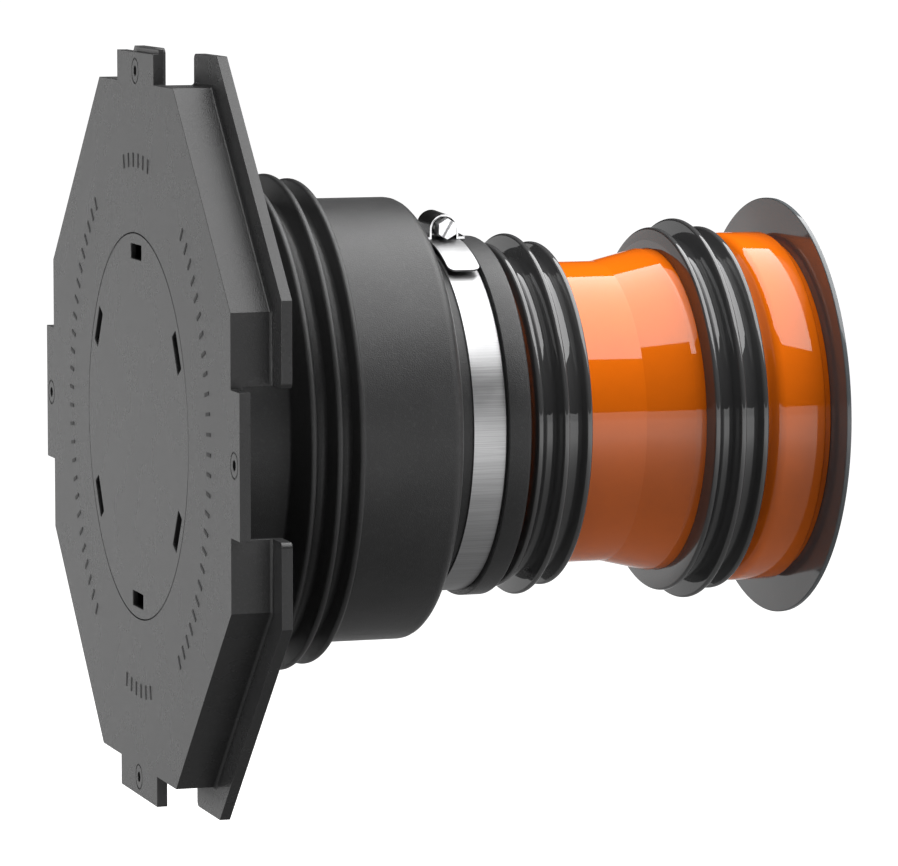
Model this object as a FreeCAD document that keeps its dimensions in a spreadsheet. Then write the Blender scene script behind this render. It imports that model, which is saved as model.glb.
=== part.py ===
import FreeCAD, Part
import math
import os
import Sketcher
from FreeCAD import Placement, Rotation, Vector

# A wall pipe sleeve: a front plate that is nailed to the formwork, a rubber sleeve behind it,
# a steel clamp, and a drain pipe with two water-stop collars that runs out through the wall.
# X runs along the pipe, away from the face of the plate. Z is up. All sizes are millimetres.

SIZES = {
    # front plate
    "plate_half": 122.5,      # half the width across the flats of the eight-sided block
    "front_wall": 3.8,        # front wall, and the tabs that run on from it
    "side_wall": 3.0,
    "flange_front": 14.5,     # face of the plate to the front of its flange
    "flange_thick": 3.8,
    "flange_reach": 11.0,     # how far the flange stands out past the block
    "root_fillet": 1.1,       # between the block's side and its flange
    "flange_corner": 2.2,     # round on the flange beside each notch
    "tab_width": 50.0,
    "tab_gap": 0.8,           # side of a tab to the side of its notch
    "tab_reach": 10.8,
    "nail_hole": 1.8,         # radius
    "nail_inset": 6.7,        # end of a tab to its nail hole
    "nail_ring": 4.6,         # outer radius of the fine ring round each nail hole
    "ring_line": 0.4,
    "ring_deep": 0.3,
    "hook_length": 30.0,      # raised lip on the back edge of the top tab
    "hook_height": 1.6,
    "hook_thick": 1.8,
    "ledge_width": 3.0,       # what the lid rests on
    "spigot_wall": 1.6,       # ring behind the plate that the sleeve is pushed on
    "spigot_length": 12.0,
    "rib_gap": 0.5,           # neck of the sleeve to the ribs
    "rib_thick": 1.8,
    "rib_deep": 7.0,
    # lid
    "lid_radius": 69.0,
    "lid_gap": 0.25,
    "lid_thick": 2.2,
    "slot_inset": 6.6,        # edge of the lid to the middle of a slot
    "slot_length": 14.5,
    "slot_deep": 5.2,
    "catch_width": 10.0,
    "catch_thick": 1.4,
    "catch_length": 3.4,
    "barb_reach": 0.7,
    "slide_gap": 0.2,         # clearance where the lid's catches pass the ledge
    # rubber sleeve
    "neck_wall": 3.0,
    "neck_end": 36.2,         # face of the plate to the foot of the first fin
    "fin_rise": 2.5,          # slope of the first fin's front
    "fin_pitch": 8.8,
    "fin_tip": 2.2,
    "fin_draft": 1.0,
    "fin_edge": 0.4,          # bevel on the edges of a fin's tip
    "fin_root": 0.8,          # bevel where a fin meets the chamber
    "fin_low": 7.4,           # height of the outer two fins over the chamber
    "fin_high": 9.2,
    "chamber_rise": 8.45,     # neck to chamber
    "chamber_wall": 3.6,
    "chamber_end": 97.5,
    "shoulder_round": 4.5,
    "seat_wall": 7.6,
    "seat_length": 20.7,
    "lip_height": 2.7,
    "lip_length": 8.5,
    "lip_round": 0.8,
    "groove_deep": 2.5,
    "groove_width": 5.0,
    # steel clamp
    "band_width": 12.0,
    "band_thick": 0.7,
    "band_edge": 0.6,         # gap from the band to the sleeve's lip
    "lap_height": 2.0,        # open height under the band's outer lap
    "corner_round": 2.6,
    "saddle_width": 15.6,
    "saddle_thick": 0.8,
    "case_length": 15.4,
    "case_room": 1.2,         # worm to the inside of the case
    "case_wall": 0.7,
    "case_drop": 0.6,         # middle of the case under the screw's axis
    "screw_lift": 0.3,        # worm over the band's outer lap
    "worm_radius": 3.5,
    "hex_flats": 6.6,
    "hex_length": 5.4,
    "screw_slot": 0.9,
    "screw_slot_deep": 1.6,
    "clamp_gap": 0.1,
    # drain pipe
    "pipe_radius": 55.0,
    "pipe_wall": 3.2,
    "pipe_inside": 26.0,      # length of pipe past the shoulder, inside the chamber
    "pipe_chamfer": 2.0,
    "cone_gap": 22.2,         # first collar to the cone
    "cone_length": 17.3,
    "socket_fit": 0.7,        # plain end of the next pipe to the socket
    "socket_wall": 3.4,
    "bead_slope": 3.6,
    "bead_rise": 5.2,
    "bead_length": 21.0,
    "bead_round": 2.4,
    "bead_wall": 3.3,
    "mouth_rise": 2.5,
    "mouth_length": 2.7,
    "mouth_wall": 4.0,
    # water-stop collars
    "collar_gap": 2.5,        # sleeve's lip to the first collar
    "collar_wall": 2.0,
    "collar_low": 7.7,        # height of the outer two fins over the pipe
    "collar_high": 10.8,
    "collar_pitch": 8.65,
    "collar_tip": 2.0,
    "collar_draft": 0.8,
    "collar_edge": 0.3,       # bevels, as on the sleeve
    "collar_root": 0.8,
    "collar_tail": 1.2,
    "second_gap": 3.8,        # cone to the second collar
    "bead_gap": 1.2,          # second collar to the seal bead
    # seal and end disc
    "seal_gap": 0.5,
    "seal_lip": 3.0,
    "disc_radius": 76.8,
    "disc_thick": 1.8,
    "disc_round": 0.4,
    "plug_length": 14.0,
    "plug_wall": 1.8,
    "plug_gap": 0.3,
}

# Counts and angles, in whole numbers and degrees.
SIDES = 8
SLOT_ANGLES = [30, 90, 150, 210, 270, 330]
CATCH_ANGLES = [0, 60, 120, 180, 240, 300]
RIB_ANGLES = [22.5, 67.5, 112.5, 157.5, 202.5, 247.5, 292.5, 337.5]
NOTCH_ANGLES = [0, 90, 180, 270]
CASE_ANGLE = 2.8              # lean of the clamp's case from the top towards the near side
LAP_START, LAP_RISEN, LAP_END = -25, -10, 32
BAND_START = -12              # inner end of the band, under its own lap
SLOT_LEAN = 30                # of the slot in the screw's head

doc = FreeCAD.newDocument("wall_pipe_sleeve")
sheet = doc.addObject("Spreadsheet::Sheet", "Sizes")


class Length:
    """A size that knows its value and its spreadsheet expression."""

    def __init__(self, value, text):
        self.value = value
        self.text = text

    def joined(self, other, sign, result):
        right = other.text if isinstance(other, Length) else repr(other)
        return Length(result, f"({self.text} {sign} {right})")

    def __add__(self, other):
        return self.joined(other, "+", self.value + number(other))

    def __sub__(self, other):
        return self.joined(other, "-", self.value - number(other))

    def __mul__(self, other):
        return self.joined(other, "*", self.value * number(other))

    def __truediv__(self, other):
        return self.joined(other, "/", self.value / number(other))

    def __neg__(self):
        return Length(-self.value, f"(0 - {self.text})")


def number(amount):
    return amount.value if isinstance(amount, Length) else amount


def fill_sheet():
    for row, (name, value) in enumerate(SIZES.items(), start=1):
        sheet.set(f"A{row}", name)
        sheet.set(f"B{row}", str(value))
        sheet.setAlias(f"B{row}", name)
    doc.recompute()


fill_sheet()
of = {name: Length(value, f"Sizes.{name}") for name, value in SIZES.items()}
zero = Length(0, "0")


def bind(thing, **amounts):
    """Tie properties to the sheet. A double underscore stands for a dot."""
    for name, amount in amounts.items():
        text = amount.text if isinstance(amount, Length) else repr(amount)
        thing.setExpression(name.replace("__", "."), text)


def turned_about_x(angle):
    return Rotation(Vector(1, 0, 0), angle)


ALONG_X = Rotation(Vector(0, 1, 0), 90)


def new_body(label):
    body = doc.addObject("PartDesign::Body", label)
    body.Label = label
    return body


def plane(body, role):
    return next(item for item in body.Origin.OriginFeatures if item.Role == role)


def turned_piece(label, points):
    """A piece turned about the pipe's axis, from a closed outline of (along, radius) points."""
    body = new_body(label)
    sketch = body.newObject("Sketcher::SketchObject", label + "_outline")
    sketch.AttachmentSupport = [(plane(body, "XY_Plane"), "")]
    sketch.MapMode = "FlatFace"
    places = [Vector(along.value, radius.value, 0) for along, radius in points]
    lines = [Part.LineSegment(a, b) for a, b in zip(places, places[1:] + places[:1])]
    sketch.addGeometry(lines, False)
    for index, (along, radius) in enumerate(points):
        before = (index - 1) % len(points)
        sketch.addConstraint(Sketcher.Constraint("Coincident", before, 2, index, 1))
        for kind, amount in (("DistanceX", along), ("DistanceY", radius)):
            rule = Sketcher.Constraint(kind, -1, 1, index, 1, amount.value)
            sketch.setExpression(f"Constraints[{sketch.addConstraint(rule)}]", amount.text)
    turning = body.newObject("PartDesign::Revolution", label + "_turning")
    turning.Profile = sketch
    turning.ReferenceAxis = (sketch, ["H_Axis"])
    turning.Angle = 360
    doc.recompute()
    return body


def ring_edges(feature, rings):
    """Names of the circular edges that lie at the given (along, radius) places."""
    found = []
    for index, edge in enumerate(feature.Shape.Edges, start=1):
        curve = edge.Curve
        if not isinstance(curve, Part.Circle) or not edge.isClosed():
            continue
        for along, radius in rings:
            if abs(curve.Center.x - along.value) < 1e-4 and abs(curve.Radius - radius.value) < 1e-4:
                found.append(f"Edge{index}")
    assert len(found) == len(rings), f"{feature.Label}: {len(found)} of {len(rings)} edges"
    return found


def rounded(body, kind, rings, amount, name):
    """Fillet or chamfer ring edges of a turned piece."""
    base = body.Tip
    edges = ring_edges(base, rings)
    feature = body.newObject(f"PartDesign::{kind}", name)
    feature.Base = (base, edges)
    bind(feature, **{"Radius" if kind == "Fillet" else "Size": amount})
    doc.recompute()
    return feature


def prism(body, kind, name, half, start, length):
    """An eight-sided block along X with flats at top, bottom and sides."""
    block = body.newObject(f"PartDesign::{kind}Prism", name)
    block.Polygon = SIDES
    turn = ALONG_X.multiply(Rotation(Vector(0, 0, 1), 180 / SIDES))
    block.Placement = Placement(Vector(), turn)
    bind(block, Circumradius=half * (1 / math.cos(math.pi / SIDES)), Height=length,
         Placement__Base__x=start)
    return block


def cylinder(body, kind, name, radius, start, length, out=None, angle=0):
    """A cylinder along X. It may stand off the axis, at a distance and angle."""
    rod = body.newObject(f"PartDesign::{kind}Cylinder", name)
    rod.Placement = Placement(Vector(), ALONG_X)
    bind(rod, Radius=radius, Height=length, Placement__Base__x=start)
    if out is not None:
        turn = math.radians(angle)
        bind(rod, Placement__Base__y=out * -math.sin(turn), Placement__Base__z=out * math.cos(turn))
    return rod


def slab(body, kind, name, start, length, low, high, width, angle, shift=None):
    """A block from radius low to high, centred on a ray at an angle from the top towards -Y."""
    block = body.newObject(f"PartDesign::{kind}Box", name)
    block.Placement = Placement(Vector(), turned_about_x(angle))
    turn = math.radians(angle)
    side = width / 2 if shift is None else width / 2 + shift
    bind(block, Length=length, Width=width, Height=high - low, Placement__Base__x=start,
         Placement__Base__y=low * -math.sin(turn) - side * math.cos(turn),
         Placement__Base__z=low * math.cos(turn) - side * math.sin(turn))
    return block


# Places along the pipe, each worked out from the one before it.
flange_back = of["flange_front"] + of["flange_thick"]
lid_hole = of["lid_radius"] + of["lid_gap"]
ledge_radius = lid_hole - of["ledge_width"]
spigot_inner = ledge_radius + of["barb_reach"]
spigot_outer = spigot_inner + of["spigot_wall"]
neck_radius = spigot_outer + of["neck_wall"]
chamber_radius = neck_radius + of["chamber_rise"]
seat_radius = of["pipe_radius"] + of["seat_wall"]
seat_end = of["chamber_end"] + of["seat_length"]
lip_radius = seat_radius + of["lip_height"]
lip_end = seat_end + of["lip_length"]
collar_length = of["collar_pitch"] * 2 + of["collar_tip"] + of["collar_draft"] * 2 + of["collar_tail"]
first_collar = lip_end + of["collar_gap"]
cone_start = first_collar + collar_length + of["cone_gap"]
cone_end = cone_start + of["cone_length"]
second_collar = cone_end + of["second_gap"]
bead_start = second_collar + collar_length + of["bead_gap"]
bead_end = bead_start + of["bead_length"]
pipe_end = bead_end + of["mouth_length"]
pipe_start = of["chamber_end"] - of["pipe_inside"]
pipe_bore = of["pipe_radius"] - of["pipe_wall"]
socket_bore = of["pipe_radius"] + of["socket_fit"]
socket_radius = socket_bore + of["socket_wall"]
bead_radius = socket_radius + of["bead_rise"]


def make_form_plate():
    """Eight-sided front block with a flange, notched at its four flats, and four nail tabs."""
    body = new_body("form_plate")
    half, wall = of["plate_half"], of["front_wall"]
    prism(body, "Additive", "block", half, zero, flange_back)
    flange = prism(body, "Additive", "flange", half + of["flange_reach"], of["flange_front"],
                   of["flange_thick"])
    doc.recompute()
    foot = half.value / math.cos(math.pi / SIDES)
    edges = []
    for index, edge in enumerate(flange.Shape.Edges, start=1):
        ends = [vertex.Point for vertex in edge.Vertexes]
        if all(abs(point.x - of["flange_front"].value) < 1e-4
               and abs(math.hypot(point.y, point.z) - foot) < 1e-4 for point in ends):
            edges.append(f"Edge{index}")
    assert len(edges) == SIDES
    fillet = body.newObject("PartDesign::Fillet", "flange_root")
    fillet.Base = (flange, edges)
    bind(fillet, Radius=of["root_fillet"])
    prism(body, "Subtractive", "hollow", half - of["side_wall"], wall, flange_back - wall)
    outside = half + of["flange_reach"] * 2
    for angle in NOTCH_ANGLES:
        slab(body, "Subtractive", f"notch_{angle}", wall, flange_back - wall,
             half - of["side_wall"] * 2, outside, of["tab_width"] + of["tab_gap"] * 2, angle)
    doc.recompute()
    notched = body.Tip
    corner = [number(of["tab_width"] / 2 + of["tab_gap"]), number(half + of["flange_reach"])]
    edges = []
    for index, edge in enumerate(notched.Shape.Edges, start=1):
        ends = [vertex.Point for vertex in edge.Vertexes]
        spans = [sorted((abs(point.y), abs(point.z))) for point in ends]
        if all(math.dist(span, corner) < 1e-4 for span in spans):
            edges.append(f"Edge{index}")
    assert len(edges) == SIDES
    fillet = body.newObject("PartDesign::Fillet", "flange_corners")
    fillet.Base = (notched, edges)
    bind(fillet, Radius=of["flange_corner"])
    for index, angle in enumerate(RIB_ANGLES):
        slab(body, "Additive", f"rib_{index}", wall * 0.5, wall * 0.5 + of["rib_deep"],
             neck_radius + of["rib_gap"], half - of["side_wall"] * 0.5,
             of["rib_thick"], angle)
    cylinder(body, "Additive", "spigot", spigot_outer, wall * 0.5, wall * 0.5 + of["spigot_length"])
    cylinder(body, "Subtractive", "spigot_bore", spigot_inner, wall, of["spigot_length"] + wall)
    cylinder(body, "Subtractive", "lid_seat", lid_hole, zero, of["lid_thick"])
    cylinder(body, "Subtractive", "opening", ledge_radius, zero, wall)
    for angle in NOTCH_ANGLES:
        slab(body, "Additive", f"tab_{angle}", zero, wall, half - of["side_wall"],
             half + of["tab_reach"], of["tab_width"], angle)
    near_edge = of["tab_width"] / 2 - of["hook_length"] / 2
    slab(body, "Additive", "hook", wall - of["hook_thick"], of["hook_thick"],
         half + of["tab_reach"] * 0.5, half + of["tab_reach"] + of["hook_height"],
         of["hook_length"], 0, shift=near_edge)
    hole_out = half + of["tab_reach"] - of["nail_inset"]
    for angle in NOTCH_ANGLES:
        cylinder(body, "Subtractive", f"ring_cut_{angle}", of["nail_ring"], wall * 0,
                 of["ring_deep"], hole_out, angle)
        cylinder(body, "Additive", f"ring_core_{angle}", of["nail_ring"] - of["ring_line"],
                 zero, of["ring_deep"] * 2, hole_out, angle)
        cylinder(body, "Subtractive", f"nail_{angle}", of["nail_hole"], zero, wall,
                 hole_out, angle)
    doc.recompute()
    return body


def make_face_lid():
    """Round lid, flush in the plate, with six slots and six catches behind the ledge."""
    body = new_body("face_lid")
    thick = of["lid_thick"]
    cylinder(body, "Additive", "disc", of["lid_radius"], zero, thick)
    for angle in SLOT_ANGLES:
        low = of["lid_radius"] - of["slot_inset"] - of["slot_deep"] / 2
        slab(body, "Subtractive", f"slot_{angle}", zero, thick, low, low + of["slot_deep"],
             of["slot_length"], angle + 90)
    arm_out = ledge_radius - of["slide_gap"]
    for angle in CATCH_ANGLES:
        slab(body, "Additive", f"arm_{angle}", thick * 0.5, thick * 0.5 + of["catch_length"],
             arm_out - of["catch_thick"], arm_out, of["catch_width"],
             angle + 90)
        slab(body, "Additive", f"barb_{angle}", of["front_wall"] + of["slide_gap"],
             thick + of["catch_length"] - of["front_wall"] - of["slide_gap"],
             arm_out - of["catch_thick"] / 2, arm_out + of["barb_reach"], of["catch_width"],
             angle + 90)
    doc.recompute()
    return body


def fin(start, foot, height, rise, tip, fall):
    """Four points of one fin: up its front, across its tip and down its back."""
    return [(start, foot), (start + rise, height), (start + rise + tip, height),
            (start + rise + tip + fall, foot)]


def make_sleeve_body():
    """One-piece rubber sleeve: neck, three water-stop fins, chamber, clamp seat and lip."""
    wall = of["front_wall"]
    chamber = chamber_radius
    low, high = chamber + of["fin_low"], chamber + of["fin_high"]
    tip, draft = of["fin_tip"], of["fin_draft"]
    first = of["neck_end"] + of["fin_rise"] - draft
    second = first + of["fin_pitch"]
    third = second + of["fin_pitch"]
    end = of["chamber_end"]
    bore, relief = of["pipe_radius"], of["pipe_radius"] + of["groove_deep"]
    wide = of["groove_width"]
    inner_end = end - of["chamber_wall"]
    ledge = of["neck_end"] + of["chamber_wall"]
    inside = chamber - of["chamber_wall"]
    outline = [(wall, spigot_outer), (wall, neck_radius), (of["neck_end"], neck_radius)]
    outline += fin(first, chamber, low, draft, tip, draft)[1:]
    outline += fin(second, chamber, high, draft, tip, draft)
    outline += fin(third, chamber, low, draft, tip, draft)
    outline += [(end, chamber), (end, seat_radius), (seat_end, seat_radius),
                (seat_end, lip_radius), (lip_end, lip_radius), (lip_end, bore)]
    for back in (lip_end - wide, lip_end - wide * 3.4):
        outline += [(back, bore), (back, relief), (back - wide, relief), (back - wide, bore)]
    outline += [(inner_end, bore), (inner_end, inside), (ledge, inside), (ledge, spigot_outer)]
    body = turned_piece("sleeve_body", outline)
    rounded(body, "Fillet", [(end, chamber)], of["shoulder_round"], "shoulder")
    rounded(body, "Fillet", [(lip_end, lip_radius)], of["lip_round"], "lip_edge")
    tips = []
    for start, height in ((first, low), (second, high), (third, low)):
        tips += [(start + draft, height), (start + draft + tip, height)]
    rounded(body, "Chamfer", tips, of["fin_edge"], "fin_edges")
    feet = [(second, chamber), (third, chamber)]
    feet += [(start + draft * 2 + tip, chamber) for start in (first, second, third)]
    rounded(body, "Chamfer", feet, of["fin_root"], "fin_feet")
    return body


band_inner = seat_radius
band_back = seat_end - of["band_edge"]
band_front = band_back - of["band_width"]
lap_inner = band_inner + of["band_thick"] + of["lap_height"]
lap_outer = lap_inner + of["band_thick"]
clamp_middle = band_front + of["band_width"] / 2
screw_axis = lap_outer + of["screw_lift"] + of["worm_radius"]
case_radius = of["worm_radius"] + of["case_room"] + of["case_wall"]


def ring_point(radius, angle):
    turn = math.radians(angle)
    return Vector(0, -radius * math.sin(turn), radius * math.cos(turn))


def arc(radius, start, end):
    middle = (start + end) / 2
    return Part.Arc(ring_point(radius, start), ring_point(radius, middle),
                    ring_point(radius, end)).toShape()


def line(a, b):
    return Part.LineSegment(a, b).toShape()


def make_clamp_band():
    """Steel strip: one turn, a step up at the top and a lap that ends in a rounded tongue."""
    inner, outer = band_inner.value, band_inner.value + of["band_thick"].value
    under, over = lap_inner.value, lap_outer.value
    turn_end = LAP_START + 360
    risen = LAP_RISEN + 360
    tongue = LAP_END + 360
    edges = [
        arc(inner, BAND_START, turn_end),
        line(ring_point(inner, turn_end), ring_point(under, risen)),
        arc(under, risen, tongue),
        line(ring_point(under, tongue), ring_point(over, tongue)),
        arc(over, tongue, risen),
        line(ring_point(over, risen), ring_point(outer, turn_end)),
        arc(outer, turn_end, BAND_START),
        line(ring_point(outer, BAND_START), ring_point(inner, BAND_START)),
    ]
    face = Part.Face(Part.Wire(Part.__sortEdges__(edges)))
    strip = face.extrude(Vector(of["band_width"].value, 0, 0))
    corners = []
    for edge in strip.Edges:
        ends = [vertex.Point for vertex in edge.Vertexes]
        radii = sorted(math.hypot(point.y, point.z) for point in ends)
        at_end = all(abs(math.degrees(math.atan2(-point.y, point.z)) - LAP_END) < 0.01 for point in ends)
        if at_end and abs(radii[0] - under) < 1e-4 and abs(radii[1] - over) < 1e-4:
            corners.append(edge)
    assert len(corners) == 2
    band = doc.addObject("Part::Feature", "clamp_band")
    band.Shape = strip.makeFillet(of["corner_round"].value, corners)
    band.Placement = Placement(Vector(band_front.value, 0, 0), Rotation())
    return band


def upright_box(name, x, y, z, dx, dy, dz):
    block = doc.addObject("Part::Box", name)
    bind(block, Placement__Base__x=x, Placement__Base__y=y, Placement__Base__z=z,
         Length=dx, Width=dy, Height=dz)
    return block


def along_screw(kind, name, x, y, z, length):
    """A primitive whose axis runs along the screw, from y towards -Y."""
    rod = doc.addObject(f"Part::{kind}", name)
    rod.Placement = Placement(Vector(), Rotation(Vector(1, 0, 0), 90))
    bind(rod, Placement__Base__x=x, Placement__Base__y=y, Placement__Base__z=z, Height=length)
    return rod


def cut(name, base, tool):
    result = doc.addObject("Part::Cut", name)
    result.Base, result.Tool = base, tool
    return result


def fuse(name, shapes):
    result = doc.addObject("Part::MultiFuse", name)
    result.Shapes = shapes
    return result


def make_clamp_housing():
    """Pressed case over the worm, standing on a curved saddle with two ears."""
    length, wall = of["case_length"], of["case_wall"]
    back = length / 2
    inside = case_radius - wall
    centre = screw_axis - of["case_drop"]
    saddle_low = lap_outer + of["clamp_gap"]
    saddle_high = saddle_low + of["saddle_thick"]
    saddle_front = clamp_middle - of["saddle_width"] / 2
    rounds = []
    for name, radius in (("saddle_over", saddle_high), ("saddle_under", saddle_low)):
        rod = doc.addObject("Part::Cylinder", name)
        rod.Placement = Placement(Vector(), ALONG_X)
        bind(rod, Radius=radius, Height=of["saddle_width"], Placement__Base__x=saddle_front)
        rounds.append(rod)
    foot = saddle_low - case_radius
    block = upright_box("saddle_block", saddle_front, -back, foot, of["saddle_width"], length,
                        case_radius * 2)
    saddle = doc.addObject("Part::MultiCommon", "saddle_strip")
    saddle.Shapes = [cut("saddle_ring", *rounds), block]
    dome = along_screw("Cylinder", "case_round", clamp_middle, back, centre, length)
    bind(dome, Radius=case_radius)
    cheeks = upright_box("case_cheeks", clamp_middle - case_radius, -back,
                         saddle_low + of["saddle_thick"] * 0.5, case_radius * 2, length,
                         centre - saddle_low - of["saddle_thick"] * 0.5)
    hollow = along_screw("Cylinder", "case_bore", clamp_middle, back - wall, centre, length)
    bind(hollow, Radius=inside)
    window = upright_box("case_window", clamp_middle - inside, -length, foot, inside * 2,
                         length + back - wall, centre - foot)
    under = doc.addObject("Part::Cylinder", "case_under")
    under.Placement = Placement(Vector(), ALONG_X)
    bind(under, Radius=saddle_low, Height=of["saddle_width"], Placement__Base__x=saddle_front)
    solid = fuse("case_solid", [dome, cheeks, saddle])
    housing = cut("clamp_housing", solid, fuse("case_hollow", [hollow, window, under]))
    housing.Placement = Placement(Vector(), turned_about_x(CASE_ANGLE))
    return housing


def make_clamp_screw():
    """Worm with a slotted six-sided head that stands out of the case."""
    wall = of["case_wall"]
    back = of["case_length"] / 2 - wall - of["clamp_gap"]
    worm_length = of["case_length"] - wall * 3 - of["clamp_gap"]
    worm = along_screw("Cylinder", "worm", clamp_middle, back, screw_axis, worm_length)
    bind(worm, Radius=of["worm_radius"])
    head_back = back - worm_length
    head = along_screw("Prism", "head", clamp_middle, head_back, screw_axis, of["hex_length"])
    head.Polygon = 6
    head.Placement = Placement(Vector(), Rotation(Vector(1, 0, 0), 90).multiply(
        Rotation(Vector(0, 0, 1), 90)))
    bind(head, Circumradius=of["hex_flats"] * (0.5 / math.cos(math.pi / 6)))
    face = head_back - of["hex_length"]
    slot = doc.addObject("Part::Box", "screw_slot_cut")
    lean = math.radians(SLOT_LEAN)
    slot.Placement = Placement(Vector(), Rotation(Vector(0, 1, 0), SLOT_LEAN))
    half_wide, half_long = of["screw_slot"] / 2, of["hex_flats"]
    bind(slot, Length=of["screw_slot"], Width=of["screw_slot_deep"] * 2, Height=of["hex_flats"] * 2,
         Placement__Base__x=clamp_middle - half_wide * math.cos(lean) - half_long * math.sin(lean),
         Placement__Base__y=face - of["screw_slot_deep"],
         Placement__Base__z=screw_axis + half_wide * math.sin(lean) - half_long * math.cos(lean))
    screw = cut("clamp_screw", fuse("screw_blank", [worm, head]), slot)
    screw.Placement = Placement(Vector(), turned_about_x(CASE_ANGLE))
    return screw


def make_socket_pipe():
    """Drain pipe: plain end in the sleeve, cone, socket, seal bead and mouth."""
    radius, chamfer = of["pipe_radius"], of["pipe_chamfer"]
    slope_end = bead_start + of["bead_slope"]
    mouth = socket_radius + of["mouth_rise"]
    groove_start = slope_end + of["bead_wall"] * 0.5
    groove_end = bead_end - of["bead_wall"]
    groove = bead_radius - of["bead_wall"]
    mouth_bore = mouth - of["mouth_wall"]
    outline = [
        (pipe_start, pipe_bore), (pipe_start, radius - chamfer),
        (pipe_start + chamfer * 2, radius), (cone_start, radius),
        (cone_end, socket_radius), (bead_start, socket_radius),
        (slope_end, bead_radius), (bead_end, bead_radius),
        (bead_end, mouth), (pipe_end, mouth), (pipe_end, mouth_bore),
        (groove_end, mouth_bore), (groove_end, groove), (groove_start, groove),
        (groove_start, socket_bore), (cone_end, socket_bore), (cone_start, pipe_bore),
    ]
    body = turned_piece("socket_pipe", outline)
    rounded(body, "Fillet", [(bead_end, bead_radius)], of["bead_round"], "bead_edge")
    return body


def make_collar(label, start, inner):
    """Water-stop collar: a thin hub with a low, a high and a low fin."""
    foot = inner + of["collar_wall"]
    low, high = inner + of["collar_low"], inner + of["collar_high"]
    draft, tip, pitch = of["collar_draft"], of["collar_tip"], of["collar_pitch"]
    outline = [(start, inner)]
    outline += fin(start, foot, low, draft, tip, draft)[1:]
    outline += fin(start + pitch, foot, high, draft, tip, draft)
    outline += fin(start + pitch * 2, foot, low, draft, tip, draft)
    outline += [(start + collar_length, foot), (start + collar_length, inner)]
    body = turned_piece(label, outline)
    tips = []
    for count, height in enumerate((low, high, low)):
        tips += [(start + pitch * count + draft, height), (start + pitch * count + draft + tip, height)]
    rounded(body, "Chamfer", tips, of["collar_edge"], label + "_edges")
    feet = [(start + pitch * count, foot) for count in (1, 2)]
    feet += [(start + pitch * count + draft * 2 + tip, foot) for count in (0, 1)]
    rounded(body, "Chamfer", feet, of["collar_root"], label + "_feet")
    return body


def make_socket_seal():
    """Lip ring that lies in the groove of the seal bead."""
    outer = bead_radius - of["bead_wall"]
    start = bead_start + of["bead_slope"] + of["bead_wall"] * 0.5 + of["seal_gap"]
    end = bead_end - of["bead_wall"] - of["seal_gap"]
    inner = socket_bore - of["plug_gap"]
    lip = of["seal_lip"]
    outline = [(start, outer), (end, outer), (end, outer - lip), (start + lip * 1.6, outer - lip),
               (start + lip * 2, inner), (start + lip * 1.4, inner), (start, outer - lip)]
    return turned_piece("socket_seal", outline)


def make_end_disc():
    """Thin disc over the socket's mouth, with a plug ring inside the socket."""
    face, back = pipe_end, pipe_end + of["disc_thick"]
    outer = socket_bore - of["plug_gap"]
    inner = outer - of["plug_wall"]
    tip = face - of["plug_length"]
    outline = [(tip, inner), (tip, outer), (face, outer), (face, of["disc_radius"]),
               (back, of["disc_radius"]), (back, zero), (face, zero), (face, inner)]
    body = turned_piece("end_disc", outline)
    rounded(body, "Fillet", [(face, of["disc_radius"]), (back, of["disc_radius"])],
            of["disc_round"], "disc_edge")
    return body


pieces = [
    make_form_plate(),
    make_face_lid(),
    make_sleeve_body(),
    make_clamp_band(),
    make_clamp_housing(),
    make_clamp_screw(),
    make_socket_pipe(),
    make_collar("spigot_collar", first_collar, of["pipe_radius"]),
    make_collar("socket_collar", second_collar, socket_radius),
    make_socket_seal(),
    make_end_disc(),
]
doc.recompute()

for thing in doc.Objects:
    assert "Invalid" not in thing.State and "Error" not in thing.State, (thing.Name, thing.State)
for piece in pieces:
    shape = piece.Shape
    assert not shape.isNull() and shape.isValid() and shape.Volume > 0, piece.Label
    assert len(shape.Solids) == 1, (piece.Label, len(shape.Solids))

os.makedirs("parts", exist_ok=True)
for piece in pieces:
    piece.Shape.exportStep(f"parts/{piece.Label}.step")
    box = piece.Shape.BoundBox
    print(f"{piece.Label}: {piece.Shape.Volume / 1000:.1f} cm3, x {box.XMin:.1f} to {box.XMax:.1f}, "
          f"radius {max(box.YMax, box.ZMax):.1f}")
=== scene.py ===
import math
import bpy
import bmesh
from mathutils import Matrix, Vector


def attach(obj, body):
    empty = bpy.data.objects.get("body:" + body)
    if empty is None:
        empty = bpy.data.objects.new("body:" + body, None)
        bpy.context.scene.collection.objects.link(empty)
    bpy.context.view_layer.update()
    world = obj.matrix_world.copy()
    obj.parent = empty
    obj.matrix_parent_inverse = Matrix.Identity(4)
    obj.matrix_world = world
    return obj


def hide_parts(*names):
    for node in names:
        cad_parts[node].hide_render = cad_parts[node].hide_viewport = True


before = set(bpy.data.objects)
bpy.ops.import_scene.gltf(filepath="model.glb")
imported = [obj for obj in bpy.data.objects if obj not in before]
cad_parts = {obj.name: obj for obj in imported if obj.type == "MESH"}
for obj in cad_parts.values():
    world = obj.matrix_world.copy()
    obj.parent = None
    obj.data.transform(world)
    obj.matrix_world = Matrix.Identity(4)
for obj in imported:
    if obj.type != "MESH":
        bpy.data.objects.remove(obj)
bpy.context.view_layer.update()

# Wall pipe sleeve: X runs from the plate's face along the pipe, Z is up, the camera is at -Y.
# Sizes in the dictionaries are millimetres.
mm = 0.001
scene = bpy.context.scene
print("frame loaded:", ", ".join(sorted(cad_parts)))


def link(tree, source, target):
    tree.links.new(source, target)


def newMaterial(name):
    material = bpy.data.materials.new(name)
    material.use_nodes = True
    material.node_tree.nodes.clear()
    return material, material.node_tree


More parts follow.
